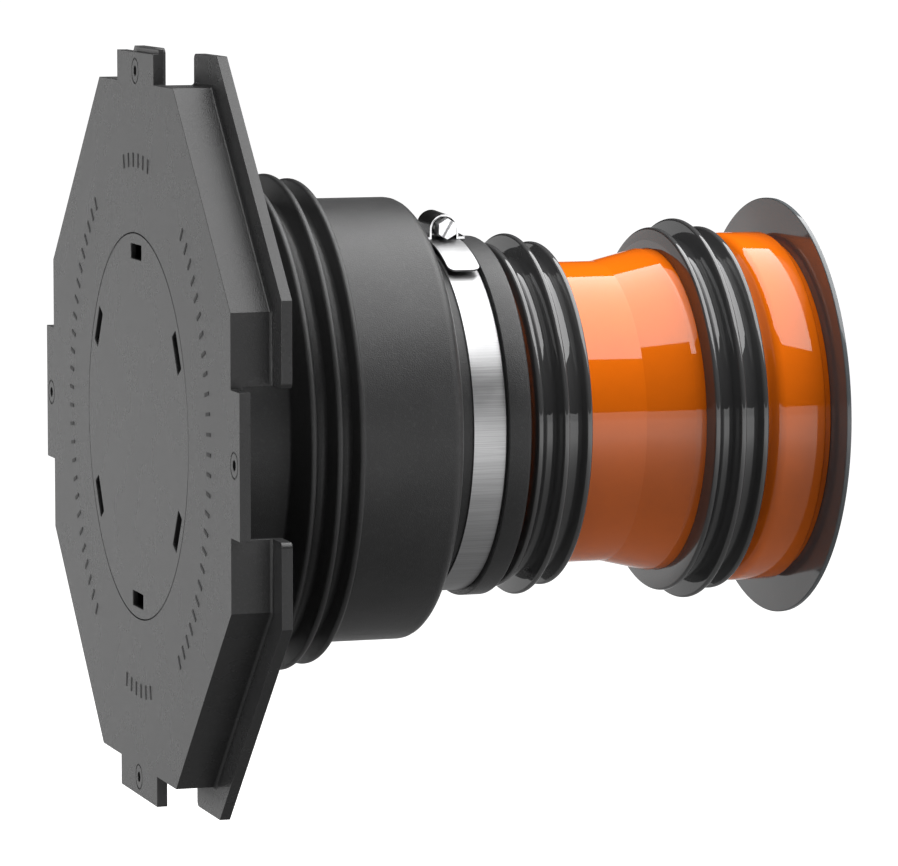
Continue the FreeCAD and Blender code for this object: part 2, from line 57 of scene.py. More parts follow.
def addNode(tree, kind, **settings):
    node = tree.nodes.new(kind)
    for key, value in settings.items():
        setattr(node, key, value)
    return node


def setInputs(node, **values):
    for key, value in values.items():
        node.inputs[key.replace("_", " ")].default_value = value
    return node


def noise(tree, vector, scale, detail=3.0, roughness=0.5):
    node = addNode(tree, "ShaderNodeTexNoise")
    setInputs(node, Scale=scale, Detail=detail, Roughness=roughness)
    link(tree, vector, node.inputs["Vector"])
    return node.outputs["Fac"]


def stretched(tree, vector, scale):
    node = addNode(tree, "ShaderNodeMapping")
    node.inputs["Scale"].default_value = scale
    link(tree, vector, node.inputs["Vector"])
    return node.outputs["Vector"]


def mathNode(tree, operation, a, b=None, clamp=False):
    node = addNode(tree, "ShaderNodeMath", operation=operation, use_clamp=clamp)
    for index, value in enumerate((a, b)):
        if value is None:
            continue
        if isinstance(value, (int, float)):
            node.inputs[index].default_value = value
        else:
            link(tree, value, node.inputs[index])
    return node.outputs[0]


def ramp(tree, value, low, high, outLow, outHigh, smooth=False):
    node = addNode(tree, "ShaderNodeMapRange", interpolation_type="SMOOTHSTEP" if smooth else "LINEAR")
    for name, amount in (("From Min", low), ("From Max", high), ("To Min", outLow), ("To Max", outHigh)):
        node.inputs[name].default_value = amount
    link(tree, value, node.inputs["Value"])
    return node.outputs["Result"]


def blendColors(tree, factor, first, second):
    node = addNode(tree, "ShaderNodeMix", data_type="RGBA")
    link(tree, factor, node.inputs["Factor"])
    sockets = [s for s in node.inputs if s.type == "RGBA"]
    for socket, color in zip(sockets, (first, second)):
        if isinstance(color, tuple):
            socket.default_value = (*color, 1.0)
        else:
            link(tree, color, socket)
    return [s for s in node.outputs if s.type == "RGBA"][0]


def bump(tree, height, strength, distance, normal=None):
    node = addNode(tree, "ShaderNodeBump")
    setInputs(node, Strength=strength, Distance=distance)
    link(tree, height, node.inputs["Height"])
    if normal is not None:
        link(tree, normal, node.inputs["Normal"])
    return node.outputs["Normal"]


def finishMaterial(tree, shader):
    output = addNode(tree, "ShaderNodeOutputMaterial")
    link(tree, shader.outputs[0], output.inputs["Surface"])


moulded = {"cloudScale": 35.0, "speckScale": 900.0, "darker": 0.8, "lighter": 1.25,
           "smoother": 0.012, "rougher": 0.02, "grainDeep": 0.25, "cloudBump": 0.03, "cloudDeep": 0.4}


def mouldedPlastic(name, tone, grainSize, rough, grainBump, specular=0.5):
    # Dark moulded plastic or rubber: fine pebble grain, with cloudy tone and roughness.
    material, tree = newMaterial(name)
    place = addNode(tree, "ShaderNodeTexCoord").outputs["Object"]
    grain = noise(tree, place, 1 / (grainSize * mm), detail=2.0, roughness=0.6)
    cloud = noise(tree, place, moulded["cloudScale"], detail=5.0, roughness=0.6)
    speck = noise(tree, place, moulded["speckScale"], detail=1.0)
    shader = addNode(tree, "ShaderNodeBsdfPrincipled")
    darker = tuple(moulded["darker"] * channel for channel in tone)
    lighter = tuple(moulded["lighter"] * channel for channel in tone)
    mixed = mathNode(tree, "ADD", ramp(tree, cloud, 0.3, 0.7, 0.0, 0.7),
                     ramp(tree, speck, 0.55, 0.75, 0.0, 0.5))
    link(tree, blendColors(tree, mixed, darker, lighter), shader.inputs["Base Color"])
    link(tree, ramp(tree, cloud, 0.25, 0.75, rough - moulded["smoother"], rough + moulded["rougher"]),
         shader.inputs["Roughness"])
    shader.inputs["Specular IOR Level"].default_value = specular
    normal = bump(tree, grain, grainBump, moulded["grainDeep"] * mm)
    link(tree, bump(tree, cloud, moulded["cloudBump"], moulded["cloudDeep"] * mm, normal),
         shader.inputs["Normal"])
    finishMaterial(tree, shader)
    return material


glossy = {"lineStretch": (6.0, 420.0, 420.0), "waveScale": 26.0, "smudgeScale": 60.0, "deeper": 0.93,
          "smudgeRough": 0.035, "lineDeep": 0.02, "waveShare": 0.5, "waveDeep": 0.3}


def glossyPlastic(name, tone, rough, ripple, specular):
    # Smooth plastic: faint extrusion lines along the pipe, slight waviness, a few dull smudges.
    material, tree = newMaterial(name)
    place = addNode(tree, "ShaderNodeTexCoord").outputs["Object"]
    lines = noise(tree, stretched(tree, place, glossy["lineStretch"]), 1.0, detail=2.0)
    wave = noise(tree, place, glossy["waveScale"], detail=1.0)
    smudge = noise(tree, place, glossy["smudgeScale"], detail=6.0, roughness=0.65)
    shader = addNode(tree, "ShaderNodeBsdfPrincipled")
    deep = tuple(glossy["deeper"] * channel for channel in tone)
    link(tree, blendColors(tree, ramp(tree, smudge, 0.3, 0.75, 0.0, 1.0), tone, deep),
         shader.inputs["Base Color"])
    link(tree, ramp(tree, smudge, 0.5, 0.8, rough, rough + glossy["smudgeRough"]),
         shader.inputs["Roughness"])
    shader.inputs["Specular IOR Level"].default_value = specular
    normal = bump(tree, lines, ripple, glossy["lineDeep"] * mm)
    link(tree, bump(tree, wave, ripple * glossy["waveShare"], glossy["waveDeep"] * mm, normal),
         shader.inputs["Normal"])
    finishMaterial(tree, shader)
    return material


brushed = {"acrossBand": (18.0, 2400.0, 2400.0), "alongScrew": (900.0, 60.0, 900.0), "cloudScale": 90.0,
           "dull": 0.72, "smoother": 0.04, "rougher": 0.05, "bump": 0.25, "deep": 0.03}


def brushedSteel(name, tone, rough, streaks, brushing):
    # Rolled or turned steel: fine brushing one way, cloudy roughness.
    material, tree = newMaterial(name)
    place = addNode(tree, "ShaderNodeTexCoord").outputs["Object"]
    brush = noise(tree, stretched(tree, place, brushed[brushing]), 1.0, detail=3.0, roughness=0.7)
    cloud = noise(tree, place, brushed["cloudScale"], detail=4.0)
    shader = addNode(tree, "ShaderNodeBsdfPrincipled")
    shader.inputs["Metallic"].default_value = 1.0
    dull = tuple(brushed["dull"] * channel for channel in tone)
    link(tree, blendColors(tree, ramp(tree, brush, 0.35, 0.65, 0.0, 1.0), dull, tone),
         shader.inputs["Base Color"])
    rubbed = mathNode(tree, "MULTIPLY", brush, streaks)
    cloudy = ramp(tree, cloud, 0.3, 0.7, rough - brushed["smoother"], rough + brushed["rougher"])
    link(tree, mathNode(tree, "ADD", rubbed, cloudy), shader.inputs["Roughness"])
    link(tree, bump(tree, brush, brushed["bump"], brushed["deep"] * mm), shader.inputs["Normal"])
    finishMaterial(tree, shader)
    return material


plateGrey = mouldedPlastic("plateGrey", (0.031, 0.031, 0.0315), grainSize=0.40, rough=0.27,
                           grainBump=0.38, specular=0.33)
lidGrey = mouldedPlastic("lidGrey", (0.033, 0.033, 0.0335), grainSize=0.40, rough=0.27,
                         grainBump=0.38, specular=0.35)
markGrey = mouldedPlastic("markGrey", (0.008, 0.008, 0.0085), grainSize=0.55, rough=0.40,
                          grainBump=0.50, specular=0.20)
sleeveRubber = mouldedPlastic("sleeveRubber", (0.044, 0.044, 0.0445), grainSize=0.40, rough=0.29,
                              grainBump=0.55, specular=0.25)
sealRubber = mouldedPlastic("sealRubber", (0.016, 0.016, 0.016), grainSize=0.6, rough=0.45, grainBump=0.2)
collarRubber = glossyPlastic("collarRubber", (0.070, 0.070, 0.071), rough=0.03, ripple=0.05, specular=0.72)
pipeOrange = glossyPlastic("pipeOrange", (0.84, 0.158, 0.004), rough=0.03, ripple=0.08, specular=0.5)
discBlack = glossyPlastic("discBlack", (0.112, 0.122, 0.128), rough=0.08, ripple=0.06, specular=0.52)
bandSteel = brushedSteel("bandSteel", (0.45, 0.45, 0.455), rough=0.27, streaks=0.24, brushing="acrossBand")
caseSteel = brushedSteel("caseSteel", (0.74, 0.74, 0.75), rough=0.14, streaks=0.10, brushing="alongScrew")
screwSteel = brushedSteel("screwSteel", (0.93, 0.93, 0.94), rough=0.30, streaks=0.10, brushing="alongScrew")
print("materials made")


def addPiece(name, mesh, material, slotName, *nodes):
    piece = bpy.data.objects.new(name, mesh)
    scene.collection.objects.link(piece)
    mesh.materials.clear()
    mesh.materials.append(material)
    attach(piece, "root")
    if nodes:
        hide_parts(*nodes)
    return piece


def roundedOutline(corners, arcSteps=5):
    # Corners are (along, radius, round). Each rounded corner becomes a short arc.
    path = []
    count = len(corners)
    for index, (x, r, size) in enumerate(corners):
        here = Vector((x, r))
        if size <= 0:
            path.append(here)
            continue
        before = Vector(corners[index - 1][:2]) - here
        after = Vector(corners[(index + 1) % count][:2]) - here
        angle = before.angle(after)
        reach = min(size / math.tan(angle / 2), 0.49 * before.length, 0.49 * after.length)
        radius = reach * math.tan(angle / 2)
        between = (before.normalized() + after.normalized()).normalized()
        middle = here + between * (radius / math.sin(angle / 2))
        start, end = here + before.normalized() * reach, here + after.normalized() * reach
        first = math.atan2(start.y - middle.y, start.x - middle.x)
        last = math.atan2(end.y - middle.y, end.x - middle.x)
        turn = (last - first + math.pi) % (2 * math.pi) - math.pi
        for step in range(arcSteps + 1):
            at = first + turn * step / arcSteps
            path.append(Vector((middle.x + radius * math.cos(at), middle.y + radius * math.sin(at))))
    return path


def turningTree():
    # Sweeps a closed outline round the pipe's axis. The outline's X is its radius, its Y is its place.
    tree = bpy.data.node_groups.new("turnedPiece", "GeometryNodeTree")
    tree.interface.new_socket(name="Outline", in_out="INPUT", socket_type="NodeSocketGeometry")
    steps = tree.interface.new_socket(name="Steps", in_out="INPUT", socket_type="NodeSocketInt")
    steps.default_value, steps.min_value = 192, 3
    tree.interface.new_socket(name="Core Radius", in_out="INPUT", socket_type="NodeSocketFloat")
    tree.interface.new_socket(name="Finish", in_out="INPUT", socket_type="NodeSocketMaterial")
    tree.interface.new_socket(name="Piece", in_out="OUTPUT", socket_type="NodeSocketGeometry")
    source = addNode(tree, "NodeGroupInput")
    outline = addNode(tree, "GeometryNodeMeshToCurve")
    circle = addNode(tree, "GeometryNodeCurvePrimitiveCircle")
    sweep = addNode(tree, "GeometryNodeCurveToMesh")
    turn = addNode(tree, "GeometryNodeTransform")
    turn.inputs["Rotation"].default_value = (0.0, math.pi / 2, 0.0)
    merge = addNode(tree, "GeometryNodeMergeByDistance")
    merge.inputs["Distance"].default_value = 1e-6
    smooth = addNode(tree, "GeometryNodeSetShadeSmooth")
    real = addNode(tree, "GeometryNodeRealizeInstances")
    paint = addNode(tree, "GeometryNodeSetMaterial")
    result = addNode(tree, "NodeGroupOutput")
    link(tree, source.outputs["Outline"], outline.inputs["Mesh"])
    link(tree, source.outputs["Steps"], circle.inputs["Resolution"])
    link(tree, source.outputs["Core Radius"], circle.inputs["Radius"])
    link(tree, circle.outputs["Curve"], sweep.inputs["Curve"])
    link(tree, outline.outputs["Curve"], sweep.inputs["Profile Curve"])
    link(tree, sweep.outputs["Mesh"], turn.inputs["Geometry"])
    link(tree, turn.outputs["Geometry"], merge.inputs["Geometry"])
    link(tree, merge.outputs["Geometry"], smooth.inputs["Geometry"])
    link(tree, smooth.outputs["Geometry"], real.inputs["Geometry"])
    link(tree, real.outputs["Geometry"], paint.inputs["Geometry"])
    link(tree, source.outputs["Finish"], paint.inputs["Material"])
    link(tree, paint.outputs["Geometry"], result.inputs["Piece"])
    return tree


turnedPiece = turningTree()
coreRadius = 0.5 * mm    # of the circle that each outline is swept along
sharpAngle = 32.0        # edges of turned pieces that are sharper stay crisp


def setSocket(modifier, name, value):
    for item in modifier.node_group.interface.items_tree:
        if item.item_type == "SOCKET" and item.in_out == "INPUT" and item.name == name:
            modifier[item.identifier] = value


def bakeModifiers(mesh, tree, **inputs):
    # Runs a geometry tree on a mesh and returns the plain mesh that it makes.
    holder = bpy.data.objects.new("holder", mesh)
    scene.collection.objects.link(holder)
    modifier = holder.modifiers.new("shape", "NODES")
    modifier.node_group = tree
    for name, value in inputs.items():
        setSocket(modifier, name.replace("_", " "), value)
    bpy.context.view_layer.update()
    evaluated = holder.evaluated_get(bpy.context.evaluated_depsgraph_get())
    made = bpy.data.meshes.new_from_object(evaluated)
    bpy.data.objects.remove(holder)
    return made


def facesOutward(mesh):
    work = bmesh.new()
    work.from_mesh(mesh)
    bmesh.ops.recalc_face_normals(work, faces=work.faces)
    work.to_mesh(mesh)
    work.free()


def turned(name, corners, material, steps, arcSteps=5):
    path = roundedOutline(corners, arcSteps)
    outline = bpy.data.meshes.new(name + "Outline")
    points = [(r * mm - coreRadius, -x * mm, 0.0) for x, r in path]
    outline.from_pydata(points, [(i, (i + 1) % len(points)) for i in range(len(points))], [])
    mesh = bakeModifiers(outline, turnedPiece, Steps=steps, Core_Radius=coreRadius, Finish=material)
    mesh.name = name
    facesOutward(mesh)
    mesh.set_sharp_from_angle(angle=math.radians(sharpAngle))
    return mesh


soften = {"angle": 30.0, "weld": 0.01, "flatAngle": 0.8, "faceWeight": 90}


def softenedNode(nodeName, width, segments):
    # A merged copy of a CAD node with its edges slightly rounded.
    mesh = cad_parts[nodeName].data.copy()
    work = bmesh.new()
    work.from_mesh(mesh)
    bmesh.ops.remove_doubles(work, verts=work.verts, dist=soften["weld"] * mm)
    bmesh.ops.dissolve_limit(work, angle_limit=math.radians(soften["flatAngle"]), verts=work.verts,
                             edges=work.edges)
    work.to_mesh(mesh)
    work.free()
    mesh.shade_smooth()
    holder = bpy.data.objects.new("holder", mesh)
    scene.collection.objects.link(holder)
    edges = holder.modifiers.new("soften", "BEVEL")
    edges.width, edges.segments = width * mm, segments
    edges.limit_method, edges.angle_limit = "ANGLE", math.radians(soften["angle"])
    edges.miter_outer = "MITER_ARC"
    weigh = holder.modifiers.new("flatFaces", "WEIGHTED_NORMAL")
    weigh.weight, weigh.keep_sharp = soften["faceWeight"], True
    bpy.context.view_layer.update()
    made = bpy.data.meshes.new_from_object(holder.evaluated_get(bpy.context.evaluated_depsgraph_get()))
    bpy.data.objects.remove(holder)
    return made


plate = {"softWidth": 0.55, "softSteps": 3}
lid = {"softWidth": 0.30, "softSteps": 2}

addPiece("formPlate", softenedNode("form_plate", plate["softWidth"], plate["softSteps"]),
         plateGrey, "form_plate", "form_plate")
addPiece("faceLid", softenedNode("face_lid", lid["softWidth"], lid["softSteps"]),
         lidGrey, "face_lid", "face_lid")
print("plate and lid made")

# Each row of marks is (how many, where it starts, how far it sweeps), in degrees.
marks = {"radius": 95.0, "long": 5.0, "wide": 1.3, "proud": 0.12,
         "rows": ((26, -54.0, 104.0), (26, 127.0, 104.0), (6, 80.0, 20.0), (6, 260.0, 20.0))}


def markTree():
    # A row of plain short bars along an arc, each pointing to the arc's middle.
    tree = bpy.data.node_groups.new("markRow", "GeometryNodeTree")
    for name, kind in (("Outline", "Geometry"), ("Count", "Int"), ("Radius", "Float"), ("Start", "Float"),
                       ("Sweep", "Float"), ("Bar", "Vector"), ("Finish", "Material")):
        tree.interface.new_socket(name=name, in_out="INPUT", socket_type="NodeSocket" + kind)
    tree.interface.new_socket(name="Piece", in_out="OUTPUT", socket_type="NodeSocketGeometry")
    source = addNode(tree, "NodeGroupInput")
    arc = addNode(tree, "GeometryNodeCurveArc", mode="RADIUS")
    points = addNode(tree, "GeometryNodeCurveToPoints", mode="EVALUATED")
    bar = addNode(tree, "GeometryNodeMeshCube")
    place = addNode(tree, "GeometryNodeInputPosition")
    aim = addNode(tree, "FunctionNodeAlignRotationToVector", axis="X", pivot_axis="Z")
    copies = addNode(tree, "GeometryNodeInstanceOnPoints")
    real = addNode(tree, "GeometryNodeRealizeInstances")
    paint = addNode(tree, "GeometryNodeSetMaterial")
    result = addNode(tree, "NodeGroupOutput")
    for name, socket in (("Count", "Resolution"), ("Radius", "Radius"), ("Start", "Start Angle"),
                         ("Sweep", "Sweep Angle")):
        link(tree, source.outputs[name], arc.inputs[socket])
    link(tree, source.outputs["Bar"], bar.inputs["Size"])
    link(tree, arc.outputs["Curve"], points.inputs["Curve"])
    link(tree, place.outputs[0], aim.inputs["Vector"])
    link(tree, points.outputs["Points"], copies.inputs["Points"])
    link(tree, bar.outputs["Mesh"], copies.inputs["Instance"])
    link(tree, aim.outputs["Rotation"], copies.inputs["Rotation"])
    link(tree, copies.outputs["Instances"], real.inputs["Geometry"])
    link(tree, real.outputs["Geometry"], paint.inputs["Geometry"])
    link(tree, source.outputs["Finish"], paint.inputs["Material"])
    link(tree, paint.outputs["Geometry"], result.inputs["Piece"])
    return tree


markRow = markTree()

# The rows are made lying flat, and this stands them up on the plate's face.
ontoPlate = Matrix(((0, 0, -1, 0), (-1, 0, 0, 0), (0, 1, 0, 0), (0, 0, 0, 1)))
allMarks = bmesh.new()
for count, start, sweep in marks["rows"]:
    row = bakeModifiers(bpy.data.meshes.new("row"), markRow, Count=count, Radius=marks["radius"] * mm,
                        Start=math.radians(start), Sweep=math.radians(sweep), Finish=markGrey,
                        Bar=(marks["long"] * mm, marks["wide"] * mm, 2 * marks["proud"] * mm))
    row.transform(ontoPlate)
    allMarks.from_mesh(row)
markMesh = bpy.data.meshes.new("plateMarks")
allMarks.to_mesh(markMesh)
allMarks.free()
addPiece("plateMarks", markMesh, markGrey, "form_plate")
print("marks made")


sleeve = {
    "start": 3.8, "bore": 68.55, "neck": 71.55, "neckEnd": 36.2, "neckRound": 1.2,
    "chamber": 80.0, "chamberBore": 76.4, "chamberStart": 39.8, "chamberEnd": 93.9,
    "finStarts": (37.7, 46.5, 55.3), "finHeights": (87.4, 89.2, 87.4), "finTip": 2.2, "draft": 1.0,
    "finRound": 1.15, "finRoot": 2.0, "shoulder": 97.5, "shoulderRound": 4.5,
    "seat": 62.6, "seatEnd": 118.2, "lip": 65.3, "lipEnd": 126.7, "lipRound": 1.3,
    "pipe": 55.0, "grooveEnds": (121.7, 109.7), "grooveWidth": 5.0, "grooveBottom": 57.5, "steps": 240,
}


def sleeveOutline(s):
    corners = [(s["start"], s["bore"], 0), (s["start"], s["neck"], 0.3),
               (s["neckEnd"], s["neck"], s["neckRound"])]
    for index, (start, height) in enumerate(zip(s["finStarts"], s["finHeights"])):
        d, tip = s["draft"], s["finTip"]
        if index:
            corners.append((start, s["chamber"], s["finRoot"]))
        corners += [(start + d, height, s["finRound"]), (start + d + tip, height, s["finRound"]),
                    (start + 2 * d + tip, s["chamber"], s["finRoot"])]
    corners += [(s["shoulder"], s["chamber"], s["shoulderRound"]), (s["shoulder"], s["seat"], 0.6),
                (s["seatEnd"], s["seat"], 0.4), (s["seatEnd"], s["lip"], 0.35),
                (s["lipEnd"], s["lip"], s["lipRound"]), (s["lipEnd"], s["pipe"], 0.3)]
    for rear in s["grooveEnds"]:
        front = rear - s["grooveWidth"]
        corners += [(rear, s["pipe"], 0.2), (rear, s["grooveBottom"], 0.2),
                    (front, s["grooveBottom"], 0.2), (front, s["pipe"], 0.2)]
    corners += [(s["chamberEnd"], s["pipe"], 0.3), (s["chamberEnd"], s["chamberBore"], 3.0),
                (s["chamberStart"], s["chamberBore"], 1.5), (s["chamberStart"], s["bore"], 0.4)]
    return corners


addPiece("sleeveBody", turned("sleeveBody", sleeveOutline(sleeve), sleeveRubber, sleeve["steps"]),
         sleeveRubber, "sleeve_body", "sleeve_body")
print("sleeve made")


pipe = {
    "start": 71.5, "tip": 53.0, "leadIn": 4.0, "radius": 55.0, "wall": 3.2,
    "coneStart": 173.5, "coneEnd": 190.8, "coneRound": 0.4, "socket": 59.1, "socketBore": 55.7,
    "slopeStart": 217.9, "slopeEnd": 221.5, "slopeRound": 4.5,
    "bead": 64.3, "beadEnd": 238.9, "beadRound": 2.4, "mouth": 61.6, "mouthBore": 57.6, "end": 241.6,
    "sealBore": 61.0, "sealStart": 223.15, "sealEnd": 235.6, "steps": 256, "arcSteps": 6,
}


def pipeOutline(p):
    bore = p["radius"] - p["wall"]
    return [
        (p["start"], bore, 0.4), (p["start"], p["tip"], 0.3), (p["start"] + p["leadIn"], p["radius"], 0.6),
        (p["coneStart"], p["radius"], p["coneRound"]), (p["coneEnd"], p["socket"], p["coneRound"]),
        (p["slopeStart"], p["socket"], p["slopeRound"]), (p["slopeEnd"], p["bead"], p["slopeRound"]),
        (p["beadEnd"], p["bead"], p["beadRound"]), (p["beadEnd"], p["mouth"], 0.3),
        (p["end"], p["mouth"], 0.5), (p["end"], p["mouthBore"], 0.4),
        (p["sealEnd"], p["mouthBore"], 0.3), (p["sealEnd"], p["sealBore"], 0.2),
        (p["sealStart"], p["sealBore"], 0.2), (p["sealStart"], p["socketBore"], 0.3),
        (p["coneEnd"], p["socketBore"], 1.0), (p["coneStart"], bore, 1.0),
    ]


addPiece("socketPipe", turned("socketPipe", pipeOutline(pipe), pipeOrange, pipe["steps"], pipe["arcSteps"]),
         pipeOrange, "socket_pipe", "socket_pipe")
print("pipe made")


# Both collars have one profile. A place is (where the collar starts, the radius that it sits on).
collar = {"wall": 2.0, "ribs": (7.7, 10.8, 7.7), "pitch": 8.65, "lastShift": 1.0, "tip": 2.0, "draft": 0.8,
          "length": 22.1, "tipRound": 0.95, "footRound": 2.4, "steps": 240,
          "onSpigot": (129.2, 55.0), "onSocket": (194.6, 59.1)}


def collarOutline(c, start, inner):
    foot = inner + c["wall"]
    corners = [(start, inner, 0.2)]
    for index, height in enumerate(c["ribs"]):
        x = start + index * c["pitch"] + (c["lastShift"] if index == 2 else 0.0)
        if index:
            corners.append((x, foot, c["footRound"]))
        corners += [(x + c["draft"], inner + height, c["tipRound"]),
                    (x + c["draft"] + c["tip"], inner + height, c["tipRound"]),
                    (x + 2 * c["draft"] + c["tip"], foot, c["footRound"])]
    corners += [(start + c["length"], foot, 0.2), (start + c["length"], inner, 0.2)]
    return corners


for pieceName, nodeName, place in (("spigotCollar", "spigot_collar", collar["onSpigot"]),
                                   ("socketCollar", "socket_collar", collar["onSocket"])):
    addPiece(pieceName, turned(pieceName, collarOutline(collar, *place), collarRubber, collar["steps"]),
             collarRubber, nodeName, nodeName)
print("collars made")


disc = {"plugStart": 227.6, "plugBore": 53.6, "plug": 55.4, "front": 241.6, "rear": 243.4,
        "radius": 76.8, "edgeRound": 0.4, "steps": 240}


def discOutline(d):
    return [
        (d["plugStart"], d["plugBore"], 0.3), (d["plugStart"], d["plug"], 0.5),
        (d["front"], d["plug"], 0.2), (d["front"], d["radius"], d["edgeRound"]),
        (d["rear"], d["radius"], d["edgeRound"]), (d["rear"], 0.0, 0),
        (d["front"], 0.0, 0), (d["front"], d["plugBore"], 0.3),
    ]


addPiece("endDisc", turned("endDisc", discOutline(disc), discBlack, disc["steps"]),
         discBlack, "end_disc", "end_disc")
print("end disc made")

# The hidden seal keeps its own shape and only gets a finish.
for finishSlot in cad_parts["socket_seal"].material_slots:
    finishSlot.material = sealRubber


# Angles run round the pipe in degrees, and "under" is the inside radius of the outer lap.
band = {"front": 105.6, "width": 12.0, "inner": 62.6, "thick": 0.7, "under": 65.3,
        "start": -12.0, "turnEnd": 335.0, "risen": 350.0, "end": 392.0,
        "corner": 2.6, "soft": 0.12, "sharpAngle": 35.0, "rows": 560, "cornerRows": 8}


def smoothstep(t):
    t = min(max(t, 0.0), 1.0)
    return t * t * (3 - 2 * t)


def bandMesh(b):
    # The strip is a grid of cross-sections along its path, narrowed at the free end for its corners.
    work = bmesh.new()
    rows = []
    sweep = b["end"] - b["start"]
    reach = math.degrees(b["corner"] / b["under"])
    evenly = [b["start"] + sweep * i / b["rows"] for i in range(b["rows"] + 1)]
    angles = [angle for angle in evenly if angle < b["end"] - reach]
    for step in range(b["cornerRows"] + 1):
        angles.append(b["end"] - reach * (1 - math.sin(math.pi / 2 * step / b["cornerRows"])))
    for angle in angles:
        if angle <= b["turnEnd"]:
            low = b["inner"]
        elif angle >= b["risen"]:
            low = b["under"]
        else:
            rise = smoothstep((angle - b["turnEnd"]) / (b["risen"] - b["turnEnd"]))
            low = b["inner"] + (b["under"] - b["inner"]) * rise
        left = math.radians(b["end"] - angle) * b["under"]
        inset = 0.0
        if left < b["corner"]:
            inset = b["corner"] - math.sqrt(max(b["corner"] ** 2 - (b["corner"] - left) ** 2, 0.0))
        front, rear, soft = b["front"] + inset, b["front"] + b["width"] - inset, b["soft"]
        high = low + b["thick"]
        ring = [(front, low + soft), (front, high - soft), (front + soft, high), (rear - soft, high),
                (rear, high - soft), (rear, low + soft), (rear - soft, low), (front + soft, low)]
        turn = math.radians(angle)
        rows.append([work.verts.new((x * mm, -r * math.sin(turn) * mm, r * math.cos(turn) * mm))
                     for x, r in ring])
    for first, second in zip(rows, rows[1:]):
        for k in range(len(ring)):
            onward = (k + 1) % len(ring)
            work.faces.new((first[k], first[onward], second[onward], second[k]))
    work.faces.new(rows[0])
    work.faces.new(list(reversed(rows[-1])))
    bmesh.ops.recalc_face_normals(work, faces=work.faces)
    mesh = bpy.data.meshes.new("clampBand")
    work.to_mesh(mesh)
    work.free()
    mesh.shade_smooth()
    mesh.set_sharp_from_angle(angle=math.radians(b["sharpAngle"]))
    return mesh


addPiece("clampBand", bandMesh(band), bandSteel, "clamp_band", "clamp_band")

clamp = {"caseSoft": 0.14, "screwSoft": 0.3, "softSteps": 2}
addPiece("clampCase", softenedNode("clamp_housing", clamp["caseSoft"], clamp["softSteps"]),
         caseSteel, "clamp_housing", "clamp_housing")
addPiece("clampScrew", softenedNode("clamp_screw", clamp["screwSoft"], clamp["softSteps"]),
         screwSteel, "clamp_screw", "clamp_screw")
print("clamp made")


# A glow that fades is (from, to, strength at the first, strength at the second). Its places are metres
# on the floor, and on the wall they are the Y of the direction that it is seen in.
studio = {"floorDrop": 520.0, "floorHalf": 40000.0, "floorFront": (-1.2, 0.8, 1.8, 0.80),
          # The near glow dims the floor that mirrors see close to the object: painted shade under it.
          "floorNearPaintedShade": (0.15, 2.6, 0.20, 1.0), "floorDirect": (0.3, 1.5, 0.25, 1.0),
          "floorDull": (0.30, 0.30, 0.30), "floorPale": (0.8, 0.8, 0.8),
          "softboxAway": 1500.0, "softboxLean": 28.0, "softboxLength": 2400.0, "softboxWidth": 2500.0,
          "softboxSlide": -300.0, "softboxShift": -110.0, "softboxMiddle": 150.0, "softboxPower": 86.0,
          "fillAway": 2200.0, "fillRise": 150.0, "fillSize": 900.0, "fillPower": 24.0,
          "wallTop": (4.3, 4.5), "wallGlow": (1.0, 0.02), "wallFacing": (-0.7, 0.3, 1.8, 0.8),
          "shade": 0.12}


def floorMaterial():
    # Pale floor. Mirror-like surfaces see it glow bright far off and dimmer close by. The dimming close by
    # is painted shade under the object, because no lamp light reaches the floor that mirrors see.
    material, tree = newMaterial("studioFloor")
    place = addNode(tree, "ShaderNodeTexCoord").outputs["Object"]
    split = addNode(tree, "ShaderNodeSeparateXYZ")
    link(tree, place, split.inputs[0])
    far = addNode(tree, "ShaderNodeVectorMath", operation="LENGTH")
    link(tree, place, far.inputs[0])
    rays = addNode(tree, "ShaderNodeLightPath")
    mirror = mathNode(tree, "MAXIMUM", rays.outputs["Is Glossy Ray"], rays.outputs["Is Transmission Ray"])
    front = ramp(tree, split.outputs["Y"], *studio["floorFront"], True)
    # Painted shade: the floor's glow in mirrors is made dimmer close under the object.
    nearPaintedShade = ramp(tree, far.outputs["Value"], *studio["floorNearPaintedShade"], True)
    mirrored = mathNode(tree, "MULTIPLY", front, nearPaintedShade)
    direct = ramp(tree, far.outputs["Value"], *studio["floorDirect"], True)
    strength = mathNode(tree, "ADD", mathNode(tree, "MULTIPLY", mirror, mirrored),
                        mathNode(tree, "MULTIPLY", rays.outputs["Is Camera Ray"], direct))
    glow = addNode(tree, "ShaderNodeEmission")
    link(tree, strength, glow.inputs["Strength"])
    matte = addNode(tree, "ShaderNodeBsdfDiffuse")
    pale = blendColors(tree, rays.outputs["Is Camera Ray"], studio["floorDull"], studio["floorPale"])
    link(tree, pale, matte.inputs["Color"])
    none = addNode(tree, "ShaderNodeBsdfDiffuse")
    none.inputs["Color"].default_value = (0.0, 0.0, 0.0, 1.0)
    lit = addNode(tree, "ShaderNodeMixShader")
    link(tree, mirror, lit.inputs["Fac"])
    link(tree, matte.outputs[0], lit.inputs[1])
    link(tree, none.outputs[0], lit.inputs[2])
    both = addNode(tree, "ShaderNodeAddShader")
    link(tree, lit.outputs[0], both.inputs[0])
    link(tree, glow.outputs[0], both.inputs[1])
    finishMaterial(tree, both)
    return material


floorMesh = bpy.data.meshes.new("floor")
half, down = studio["floorHalf"] * mm, -studio["floorDrop"] * mm
floorMesh.from_pydata([(-half, -half, down), (half, -half, down), (half, half, down), (-half, half, down)],
                      [], [(0, 1, 2, 3)])
floor = bpy.data.objects.new("floor", floorMesh)
floorMesh.materials.append(floorMaterial())
scene.collection.objects.link(floor)

